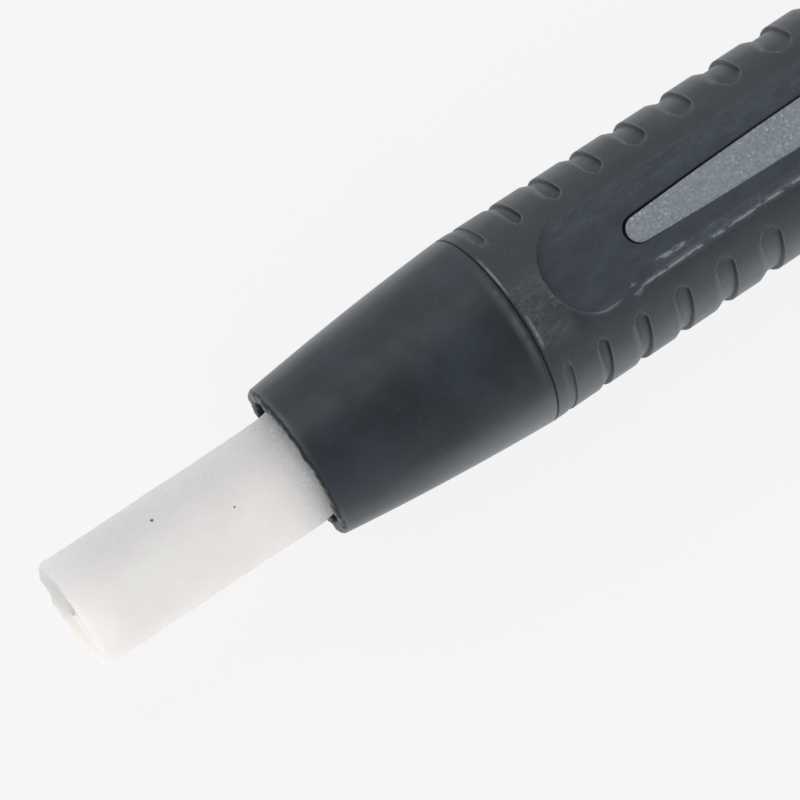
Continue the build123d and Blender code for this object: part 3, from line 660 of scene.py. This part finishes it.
# %% Sizes of the grip's pattern
WAIST = 0.15
HUMP = 2.39
FLOOR_FIRST = 0.05
FLOOR_GROWTH = 0.175
SCOOPS = 16
SCOOP_DEPTH = 0.27
RAMP = 0.6
END_LAND = 1.39
SCOOP_END = math.radians(44.5)
FACET_HALF = 3.04
FACET_LAND = 2.33
FACET_HEIGHT = math.sqrt(BODY_RADIUS**2 - FACET_HALF**2)
LEAF_END_HALF = 0.79
LEAF_MIDDLE_HALF = 1.25
LEAF_LAND = 8.2
LEAF_GAP = 0.22
EDGE = 0.1
SLOT_FLOOR = 4.78
END_SCOOP_WIDTH = 0.62
END_SCOOP_SHARE = 0.45

floors = FLOOR_FIRST + FLOOR_GROWTH * np.arange(SCOOPS // 2)
floors = np.concatenate([floors, floors[::-1]])
walls = GRIP_START + END_LAND + np.cumsum(floors) + HUMP * np.arange(SCOOPS)
print("scoop walls at", np.round(walls, 2))


def sleeve_radius(station):
    """Radius = body - waist * (1 - s^2), with s from -1 to 1 along the sleeve."""
    share = 2 * (station - GRIP_MIDDLE) / GRIP_LENGTH
    return BODY_RADIUS - WAIST * (1 - share**2)


def round_end_half(station, start, end, half):
    """Half-width of an outline with half-round ends: sqrt(half^2 - distance^2) at its ends."""
    inside = np.minimum(station - start, end - station)
    return np.sqrt(np.clip(half**2 - np.clip(half - inside, 0, None) ** 2, 0, None)) * (inside > 0)


def leaf_half(station, gap):
    """Half-width of the leaf: a shallow arch between its round ends, grown by a gap."""
    half = LEAF_END_HALF + gap
    start = GRIP_START + LEAF_LAND - gap
    end = GRIP_END - LEAF_LAND + gap
    share = 2 * (station - GRIP_MIDDLE) / (end - start)
    arch = (LEAF_MIDDLE_HALF - LEAF_END_HALF) * np.clip(1 - share**2, 0, 1)
    return round_end_half(station, start, end, half) + arch * (np.abs(share) < 1)


# %% Rows of the grip
leaf_start = GRIP_START + LEAF_LAND - LEAF_GAP
leaf_end = GRIP_END - LEAF_LAND + LEAF_GAP
facet_start = GRIP_START + FACET_LAND
facet_end = GRIP_END - FACET_LAND
rows = [GRIP_START + EDGE * (1 - np.cos(np.linspace(0, np.pi / 2, 5)))]
rows.append(np.linspace(GRIP_START + EDGE, GRIP_END - EDGE, 110))
rows.append(np.linspace(GRIP_START + EDGE, GRIP_START + 0.6, 12))
for wall, floor in zip(walls, floors):
    rows.append(wall + np.array([-0.18, -0.13, -0.09, -0.05, -0.02, 0.0, 0.02, 0.045, 0.08, 0.13]))
    rows.append(wall - floor + np.array([-0.6, -0.45, -0.3, -0.18, -0.1, -0.04, 0.0, 0.05]))
for start, sign, half in (
    (leaf_start, 1, LEAF_END_HALF),
    (leaf_end, -1, LEAF_END_HALF),
    (facet_start, 1, FACET_HALF),
    (facet_end, -1, FACET_HALF),
):
    rows.append(start + sign * half * (1 - np.cos(np.linspace(0, np.pi / 2, 12))))
    rows.append(np.array([start - sign * 0.03]))
rows.append(GRIP_END - EDGE * (1 - np.cos(np.linspace(0, np.pi / 2, 5))))
rows = np.unique(np.round(np.concatenate(rows), 3))
rows = rows[np.concatenate([[True], np.diff(rows) > 0.012])]
rows[-1] = GRIP_END
print("grip rows:", len(rows))

# %% Columns of the grip, for a quarter of the way round
slot = np.maximum(leaf_half(rows, LEAF_GAP), 0.2)
facet = round_end_half(rows, facet_start, facet_end, FACET_HALF)
meets = np.sqrt(np.clip(sleeve_radius(rows) ** 2 - FACET_HEIGHT**2, 0.2, None))
facet = np.maximum(np.minimum(facet, meets), slot + 0.4)


def quarter_angles():
    """Angles from the facet's middle to the side, one row of the array for each grid row.
    The columns keep to the slot's edge, the facet's edge and the scoops' ends."""
    slot_angle = np.arcsin(np.clip(slot / BODY_RADIUS, 0, 0.9))
    facet_angle = np.arcsin(np.clip(facet / sleeve_radius(rows), 0, 0.9))
    scoop_top = np.full_like(rows, np.pi / 2 - SCOOP_END)
    knots = [
        np.zeros_like(rows),
        slot_angle - 0.004,
        slot_angle + 0.004,
        slot_angle + 0.012,
        facet_angle - 0.014,
        facet_angle + 0.014,
        scoop_top - 0.03,
        scoop_top + 0.28,
        np.full_like(rows, np.pi / 2),
    ]
    counts = [5, 1, 1, 9, 4, 7, 17, 11]
    parts = []
    for low, high, count in zip(knots, knots[1:], counts):
        share = np.linspace(0, 1, count, endpoint=False)
        parts.append(low[:, None] + (high - low)[:, None] * share)
    return np.concatenate(parts, axis=1)


quarter = quarter_angles()
angle = np.concatenate(
    [
        quarter,
        np.full((len(rows), 1), np.pi / 2),
        (np.pi - quarter)[:, :0:-1],
        np.full((len(rows), 1), np.pi),
        np.pi + quarter[:, 1:],
        np.full((len(rows), 1), 1.5 * np.pi),
        (2 * np.pi - quarter)[:, :0:-1],
    ],
    axis=1,
)
print("grip columns:", angle.shape[1])

# %% [markdown]
# The scoop's outline is measured with a distance: how far a point lies inside the round-ended
# crescent. The depth then follows that distance, and the same number gives the painted highlight
# line along the rim.


# %% The grip's radius at every grid point
def scoop_field(station, angle):
    """Depth of the scoops and nearness to their rims. Across a scoop the floor is reached
    after a ramp and ends at the wall; at its ends it closes in a half round."""
    side = np.abs(np.abs(((angle + np.pi) % (2 * np.pi)) - np.pi) - np.pi / 2)
    depth = np.zeros_like(station)
    rim = np.zeros_like(station)
    crease = np.zeros_like(station)
    for k, (wall, floor) in enumerate(zip(walls, floors)):
        width = RAMP + floor
        if k in (0, SCOOPS - 1):
            width = END_SCOOP_WIDTH
        behind = wall - station
        middle = width / 2
        reach = SCOOP_END * BODY_RADIUS - middle * 0.9
        over = np.clip(side * BODY_RADIUS - reach, 0, None)
        across = (behind - middle) / middle
        end = over / (middle * 0.9 + 0.35)
        inside = 1.0 - np.sqrt(across**2 + end**2)
        inner = inside * middle
        near_end = ease((side * BODY_RADIUS - 1.6) / 2.2)
        ramp = RAMP * (1 - near_end) + 0.3 * near_end
        front_wall = np.clip(behind / 0.07, 0, 1)
        fall = np.clip((width - behind) / ramp, 0, 1)
        closing = ease(np.clip(inner, 0, None) / 0.12)
        shape = np.where(behind > 0, 1 - (1 - fall) ** 0.8, 0) * ease(front_wall) * closing
        local = SCOOP_DEPTH * (END_SCOOP_SHARE if k in (0, SCOOPS - 1) else 1.0)
        active = (behind > -0.3) & (behind < width + 0.3)
        depth = np.maximum(depth, np.where(active, local * shape, 0))
        edge_line = np.exp(-((inside * middle / 0.04) ** 2)) * (end < 1.4)
        rim = np.maximum(rim, np.where(active, edge_line, 0))
        # painted shade: a dark line at the foot of the scoop's wall
        foot = np.exp(-(((behind - 0.09) / 0.06) ** 2)) * ease(inner / 0.05 + 0.4) * (over < middle)
        crease = np.maximum(crease, np.where(active, foot, 0))
    return depth, rim, crease


station = rows[:, None] + 0 * angle
folded = np.abs(((angle + np.pi / 2) % np.pi) - np.pi / 2)
round_radius = sleeve_radius(station)
edge_in = np.clip(np.minimum(station - GRIP_START, GRIP_END - station), 0, EDGE)
round_radius = round_radius - EDGE + np.sqrt(EDGE**2 - (EDGE - edge_in) ** 2)
across_facet = round_radius * np.sin(folded)
flat_radius = FACET_HEIGHT / np.cos(np.minimum(folded, 1.2))
in_facet = across_facet < facet[:, None] + 1e-4
in_facet &= (station > facet_start) & (station < facet_end)
depth, rim, crease = scoop_field(station, angle)
radius = np.where(in_facet & (flat_radius < round_radius), flat_radius, round_radius - depth)
in_slot = (folded < np.arcsin(np.clip(slot / BODY_RADIUS, 0, 0.9))[:, None] - 0.002)
in_slot &= (station > leaf_start) & (station < leaf_end)
radius = np.where(in_slot, SLOT_FLOOR, radius)

# %% Wear, dust, painted highlights, painted sheen and painted shade on the grip
def hill(value, centre, width):
    """A smooth hill: exp(-((value - centre) / width)^2)."""
    return np.exp(-(((value - centre) / width) ** 2))


def window(value, low, high, soft=0.3):
    """1 between low and high, falling to 0 over a soft distance outside."""
    return ease((value - low) / soft + 1) * ease((high - value) / soft + 1)


upward = np.cos(angle) > 0
y = radius * np.sin(angle)
from_top = (angle + np.pi) % (2 * np.pi) - np.pi
behind_seam = station - GRIP_START
facet_edge = hill(np.abs(y), facet[:, None], 0.06) * (station > facet_start - 0.1)
front_arc = facet_edge * ease((facet_start + 3.6 - station) / 0.8)
# painted highlights: a pale line on the facet's front arc and pale streaks just behind the seam
arc_highlight = front_arc * window(y, -3.1, -0.3, 0.4) * upward
seam_highlight = 1.6 * hill(behind_seam, 0.3, 0.08) * window(from_top, -0.42, -0.16, 0.08)
seam_highlight = seam_highlight + 1.6 * hill(behind_seam, 0.15, 0.07) * window(from_top, 0.25, 0.52, 0.1)
rims = np.clip(rim * 0.45 + arc_highlight + seam_highlight, 0, 1)
line = 1.5 * hill(y + facet[:, None], 0.02, 0.06) * window(station, 21.8, 56.0, 1.0)
dash = 1.2 * hill(y, -2.15, 0.05) * window(station, 22.9, 24.4, 0.3)
loop = 0.8 * hill(np.hypot(station - 20.8, y + 2.8), 0.26, 0.1)
scuff = np.clip(line + dash + loop, 0, 1) * upward
lower_band = window(y, -2.8, -2.2, 0.25) * window(station, 24.5, 54.0, 2.5)
upper_band = 0.35 * window(y, 1.8, 2.8, 0.4) * window(station, 19.5, 54.0, 2.0)
patch = window(behind_seam, 0.5, 2.2, 0.8) * window(from_top, -0.36, 0.05, 0.3) * ~in_facet
# painted shade in the seam and on the slot's floor under the inlay
seam_shade = hill(behind_seam, 0.0, 0.07)
slot_shade = in_slot * 0.9
# painted sheen on both flanks, turned with the view and kept off the facet
leaning = np.sin(from_top + FLANK_TURN)
flank = 0.1 * ease((-leaning - 0.4) / 0.3) + 0.5 * ease((-leaning - 0.66) / 0.36)
flank = flank + 0.25 * ease((leaning - 0.84) / 0.16)
fields = {
    "flank": flank * ~in_facet,
    "facet": in_facet * 1.0,
    "rim": rims,
    "scuff": scuff,
    "dust": np.clip(patch + (0.12 * in_facet + lower_band + upper_band) * upward, 0, 1),
    "painted_shade": np.clip(0.9 * crease + seam_shade + slot_shade, 0, 0.92),
}

# %% Closing the grip into a sleeve
bore = SPIGOT_RADIUS - 0.15
outer = pen_points(station, angle, radius)
inner_rows = np.array([GRIP_END, GRIP_START])
inner = pen_points(inner_rows[:, None], angle[[-1, 0]], bore)
grip_points = np.concatenate([outer, inner])
no_wear = np.zeros((len(inner_rows), angle.shape[1]))
padded = {name: np.concatenate([values, no_wear]) for name, values in fields.items()}
grip = grid_piece("grip_sleeve_fine", grip_points, True, True, fields=padded)
place(grip, "barrel", rubber_finish, "grip_rubber", "grip_sleeve")

# %% [markdown]
# ## The inlays
#
# Each inlay is a thin leaf that lies in its slot a little below the rubber, with a softened
# edge. Its grid runs along the leaf and across it, and the rim rows fold down into the slot.


# %% Leaf inlays
LEAF_SHIFT = 0.07
LEAF_TURNED = 0.09
LEAF_SUNK = 0.12


def leaf_inlay(name, side):
    """A leaf: y = +-half(station) * v, z flat, with the last columns turned down."""
    start = GRIP_START + LEAF_LAND
    end = GRIP_END - LEAF_LAND
    share = (1 - np.cos(np.linspace(0, np.pi, 180))) / 2
    along = start + (end - start) * share
    half = leaf_half(along, 0.0)
    flat = np.linspace(-1, 1, 25)
    shoulder = np.radians(np.linspace(15, 90, 5))
    floor = SLOT_FLOOR - 0.1
    top_height = FACET_HEIGHT - LEAF_SUNK
    inner = np.maximum(half - LEAF_TURNED, 0.0)
    y_flat = inner[:, None] * flat
    z_flat = np.full_like(y_flat, top_height)
    y_out = inner[:, None] + (half - inner)[:, None] * np.sin(shoulder)
    z_out = top_height - LEAF_TURNED * (1 - np.cos(shoulder)) + 0 * y_out
    right_y = np.concatenate([y_out, half[:, None]], axis=1)
    right_z = np.concatenate([z_out, np.full((len(along), 1), floor)], axis=1)
    y = np.concatenate([-right_y[:, ::-1], y_flat, right_y], axis=1)
    z = np.concatenate([right_z[:, ::-1], z_flat, right_z], axis=1)
    x = MOUTH_X + along[:, None] + 0 * y
    points = np.stack([x, side * (y - LEAF_SHIFT), AXIS_Z + side * z], axis=-1)
    return grid_piece(name, points, False, True, weld=True)


top_leaf = leaf_inlay("top_inlay_fine", 1)
place(top_leaf, "barrel", inlay_finish, "inlay", "top_inlay")
bottom_leaf = leaf_inlay("bottom_inlay_fine", -1)
place(bottom_leaf, "barrel", inlay_finish, "inlay", "bottom_inlay")

# %% [markdown]
# ## The cleaning stick
#
# The stick is a round bar with soft edges, pressed rather than cut, so its side is a little
# uneven and its free end is slightly domed and chipped at the rim. Sums of a few sines give a
# wobble that repeats exactly, which a random number wouldn't.

# %% The stick as a wobbly bar
STICK_EDGE = 0.35
STICK_OUT = 0.1
END_SLANT = 0.13
END_HOLLOW = 0.3


def wobble(station, angle):
    """A few sines of station and angle, about one hundredth of the radius in all."""
    slow = np.sin(0.9 * station + 2 * angle) + 0.8 * np.sin(1.7 * station - 3 * angle + 1.1)
    quick = 0.5 * np.sin(5.3 * station + 5 * angle + 0.7) + 0.4 * np.sin(9.1 * station - 8 * angle)
    return slow + quick


stick_rows = np.concatenate(
    [
        STICK_START + STICK_EDGE * (1 - np.cos(np.linspace(0, np.pi / 2, 8))),
        np.linspace(STICK_START + 0.42, 2.0, 200),
        np.linspace(3.0, STICK_END - 0.4, 20),
        [STICK_END],
    ]
)
in_from_end = np.clip(np.minimum(stick_rows - STICK_START, STICK_END - stick_rows), 0, STICK_EDGE)
bar = STICK_RADIUS - STICK_EDGE + np.sqrt(STICK_EDGE**2 - (STICK_EDGE - in_from_end) ** 2)
shown = ease((1.5 - stick_rows) / 2.0)[:, None]
bar = bar[:, None] - 0.05 * shown + 0.012 * shown * wobble(stick_rows[:, None], around)
crystals = np.sin(23 * stick_rows[:, None] + 31 * around)
crystals = crystals * np.sin(17 * stick_rows[:, None] - 41 * around)
bar = bar + 0.025 * shown * crystals * ease(np.sin(around))
dome = np.linspace(0, 1, 26)[:-1]
face = dome[:, None]
hollow = END_HOLLOW * ease((1.0 - face) / 0.35) * (0.75 + 0.25 * np.sin(around * 2 + 0.8))
front_radius = face * bar[0]
front_station = STICK_START + hollow + 0.03 * (1 + np.sin(5 * around)) * face
back_station = np.full((len(dome), 1), STICK_END) + 0 * around
stick_station = np.concatenate([front_station, stick_rows[:, None] + 0 * around, back_station])
stick_radius = np.concatenate([front_radius, bar, face[::-1] * bar[-1]])
end_slant = END_SLANT * (1 - ease((stick_station - STICK_START) / 3.0))
height = stick_radius * np.cos(around)
crumbs = 0.06 * np.sin(9 * around + 2) * np.sin(2 * around)
crumbs = crumbs + 0.03 * np.sin(23 * around) * np.sin(3 * around)
crumbs = crumbs * np.exp(-(((stick_station - STICK_START) / 0.5) ** 2))
stick_points = pen_points(stick_station + STICK_OUT - end_slant * height + crumbs, around, stick_radius)
sag = ease((1.2 - stick_station) / 2.2)
stick_points[..., 1] -= STICK_SAG * sag
near_mouth = ease((stick_station + 3.6) / 3.4) * ease((7.0 - stick_station) / 6.5)
# painted light: the side towards the lamp, which the material tints cool and roughens more
tone = ease((np.sin(around) + 0.25) / 1.1) + 0 * stick_station
# painted shade over the end face's hollow
end_face = np.zeros_like(stick_station)
end_face[: len(dome)] = ease((1.0 - face) / 0.25)
# painted glow: more on the lower side, less near the mouth, and extra at the free end
glow = (1 - 0.8 * ease((np.sin(around) + 0.7) / 1.4)) * (1 - 0.8 * near_mouth)
glow = glow + 0.45 * np.exp(-(((stick_station - STICK_START) / 2.0) ** 2))
stick_fields = {"near_mouth": near_mouth, "cool_lit_side": tone, "end_face": end_face, "glow": glow}
stick = grid_piece("cleaning_stick_fine", stick_points, False, True, stick_fields, weld=True)
place(stick, "stick", stick_finish, "stick", "cleaning_stick")

# %% [markdown]
# ## Coil springs
#
# Two springs work in the tail: one pushes the button back, and a small one under the clip's tail
# presses its tip on the barrel. A spring could be a curve with a bevel, but a curve can't be
# pressed flat by a joint, so each spring here is a mesh.
# Its first and last coils lie nearly flat, as on a wound spring with closed ends.

# %% Winding a spring
AXES = {"x": (0, 1, 2), "z": (2, 0, 1)}


def coil_spring(name, node, axis, wire, coils, per_turn=32, round_wire=12):
    """A wire along a helix: the line is foot + rise(turn) along the axis and radius * (cos, sin)
    of the turn across it. The wire is a circle round the line, and shuts to a point at each end."""
    low, high = (np.array(corner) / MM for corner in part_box(node))
    lengthwise, first, second = AXES[axis]
    span = high[lengthwise] - low[lengthwise] - wire
    coil_radius = (high[first] - low[first] - wire) / 2
    turn = np.linspace(0, coils, coils * per_turn + 1)
    rise = np.interp(turn, [0, 1, coils - 1, coils], [0, 1.05 * wire, span - 1.05 * wire, span])
    middle = (low + high) / 2
    spoke = np.zeros((len(turn), 3))
    spoke[:, first] = np.cos(2 * np.pi * turn)
    spoke[:, second] = np.sin(2 * np.pi * turn)
    line = middle + coil_radius * spoke
    line[:, lengthwise] = low[lengthwise] + wire / 2 + rise
    heading = np.gradient(line, axis=0)
    heading /= np.linalg.norm(heading, axis=1, keepdims=True)
    across_wire = np.cross(heading, spoke)
    ring = np.linspace(0, 2 * np.pi, round_wire, endpoint=False)[:, None]
    circle = np.cos(ring) * spoke[:, None] + np.sin(ring) * across_wire[:, None]
    points = line[:, None] + wire / 2 * circle
    start, end = (np.repeat(line[i][None, None], round_wire, axis=1) for i in (0, -1))
    points = np.concatenate([start, points, end])
    return grid_piece(name, points, False, True, weld=True)


# %% The button's spring and the clip's
button_spring = coil_spring("return_spring_fine", "return_spring", "x", 0.5, 8)
place(button_spring, "barrel", wire_finish, "spring_steel", "return_spring")
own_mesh(button_spring)
clip_coil = coil_spring("clip_spring_fine", "clip_spring", "z", 0.36, 4)
place(clip_coil, "barrel", wire_finish, "spring_steel", "clip_spring")
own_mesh(clip_coil)

# %% [markdown]
# ## Camera
#
# The pen is seen almost from above, with its tip leaning towards the lens and the whole pen
# turned so that it climbs from lower left to upper right. Three angles say all of that: the
# climb on the screen, the lean along the pen and a small roll about its axis. A long lens from
# far away keeps the sides parallel.

# %% Aiming the camera
CLIMB = math.radians(33.5)
LEAN = math.radians(16.0)
ROLL = math.radians(4.3)
VIEW_WIDTH = 45.2
DISTANCE = 1000.0
SENSOR = 36.0
MOUTH_FROM_CENTRE = (-5.9, -3.56)

rolled_up = np.array([0.0, -math.sin(ROLL), math.cos(ROLL)])
along_pen = np.array([math.cos(LEAN), 0.0, 0.0]) + math.sin(LEAN) * rolled_up
to_lens = np.array([-math.sin(LEAN), 0.0, 0.0]) + math.cos(LEAN) * rolled_up
across_pen = np.array([0.0, math.cos(ROLL), math.sin(ROLL)])
right = math.cos(CLIMB) * along_pen - math.sin(CLIMB) * across_pen
up = math.sin(CLIMB) * along_pen + math.cos(CLIMB) * across_pen
mouth = np.array([MOUTH_X, 0.0, AXIS_Z])
aim = mouth - MOUTH_FROM_CENTRE[0] * right - MOUTH_FROM_CENTRE[1] * up
eye = aim + DISTANCE * to_lens

lens = bpy.data.cameras.new("portrait_lens")
lens.sensor_width = SENSOR
lens.lens = DISTANCE * SENSOR / VIEW_WIDTH
lens.clip_start = 0.01
lens.clip_end = 20.0
camera = bpy.data.objects.new("portrait_camera", lens)
bpy.context.scene.collection.objects.link(camera)
turned = Matrix((right, up, to_lens)).transposed().to_4x4()
camera.matrix_world = Matrix.Translation((eye * MM).tolist()) @ turned
bpy.context.scene.camera = camera
print(f"lens {lens.lens:.0f} mm at {DISTANCE / 1000:.2f} m")

# %% [markdown]
# ## Floor and light
#
# The pen lies on a plain pale sheet that is lit evenly, so it casts hardly a shadow. The sky is
# a soft white all round, brightest at the horizon, which gives the rubber its pale outline.
# One broad soft lamp from the upper left models the top.


# %% Floor
def pale_floor():
    size = 8.0
    corners = [(-size, -size, 0), (size, -size, 0), (size, size, 0), (-size, size, 0)]
    mesh = bpy.data.meshes.new("pale_floor")
    mesh.from_pydata(corners, [], [(0, 1, 2, 3)])
    floor = bpy.data.objects.new("pale_floor", mesh)
    bpy.context.scene.collection.objects.link(floor)
    sheet = Finish("pale_sheet", Roughness=0.9, Specular_IOR_Level=0.0)
    sheet.shader.inputs["Emission Strength"].default_value = 0.865
    sheet.shader.inputs["Emission Color"].default_value = (1.0, 1.0, 1.0, 1.0)
    tone = sheet.mix(sheet.noise(0.02, 2.0), (0.07, 0.07, 0.07, 1), (0.075, 0.075, 0.075, 1))
    floor.data.materials.append(sheet.feed(Base_Color=tone))


pale_floor()


# %% Sky and lamp
HORIZON = 1.15
ZENITH = 0.5
ZENITH_FROM = 0.75


def soft_lamp(name, location, size, power, colour):
    """A square lamp, in millimetres, that looks at the nose's seam."""
    light = bpy.data.lights.new(name, "AREA")
    light.shape = "SQUARE"
    light.size = size * MM
    light.energy = power
    light.color = colour
    lamp = bpy.data.objects.new(name, light)
    bpy.context.scene.collection.objects.link(lamp)
    target = np.array([MOUTH_X + NOSE_END, 0.0, AXIS_Z])
    back = np.array(location, float) - target
    back /= np.linalg.norm(back)
    side = np.cross((0.0, 1.0, 0.0), back)
    side /= np.linalg.norm(side)
    turned = Matrix((side, np.cross(back, side), back)).transposed().to_4x4()
    lamp.matrix_world = Matrix.Translation((np.array(location) * MM).tolist()) @ turned
    return lamp


world = bpy.data.worlds.new("soft_sky")
world.use_nodes = True
sky = world.node_tree.nodes["Background"]
sky.inputs["Color"].default_value = (0.965, 0.985, 1.0, 1.0)
direction = world.node_tree.nodes.new("ShaderNodeTexCoord")
parts = world.node_tree.nodes.new("ShaderNodeSeparateXYZ")
height = world.node_tree.nodes.new("ShaderNodeMapRange")
height.inputs["From Max"].default_value = ZENITH_FROM
height.inputs["To Min"].default_value = HORIZON
height.inputs["To Max"].default_value = ZENITH
world.node_tree.links.new(direction.outputs["Generated"], parts.inputs["Vector"])
world.node_tree.links.new(parts.outputs["Z"], height.inputs["Value"])
world.node_tree.links.new(height.outputs["Result"], sky.inputs["Strength"])
bpy.context.scene.world = world
soft_lamp("broad_upper_left", (-80.0, 330.0, 420.0), 260.0, 0.6, (1.0, 0.985, 0.96))
bpy.context.scene.view_settings.view_transform = "Standard"
print("floor, sky and lamp ready")
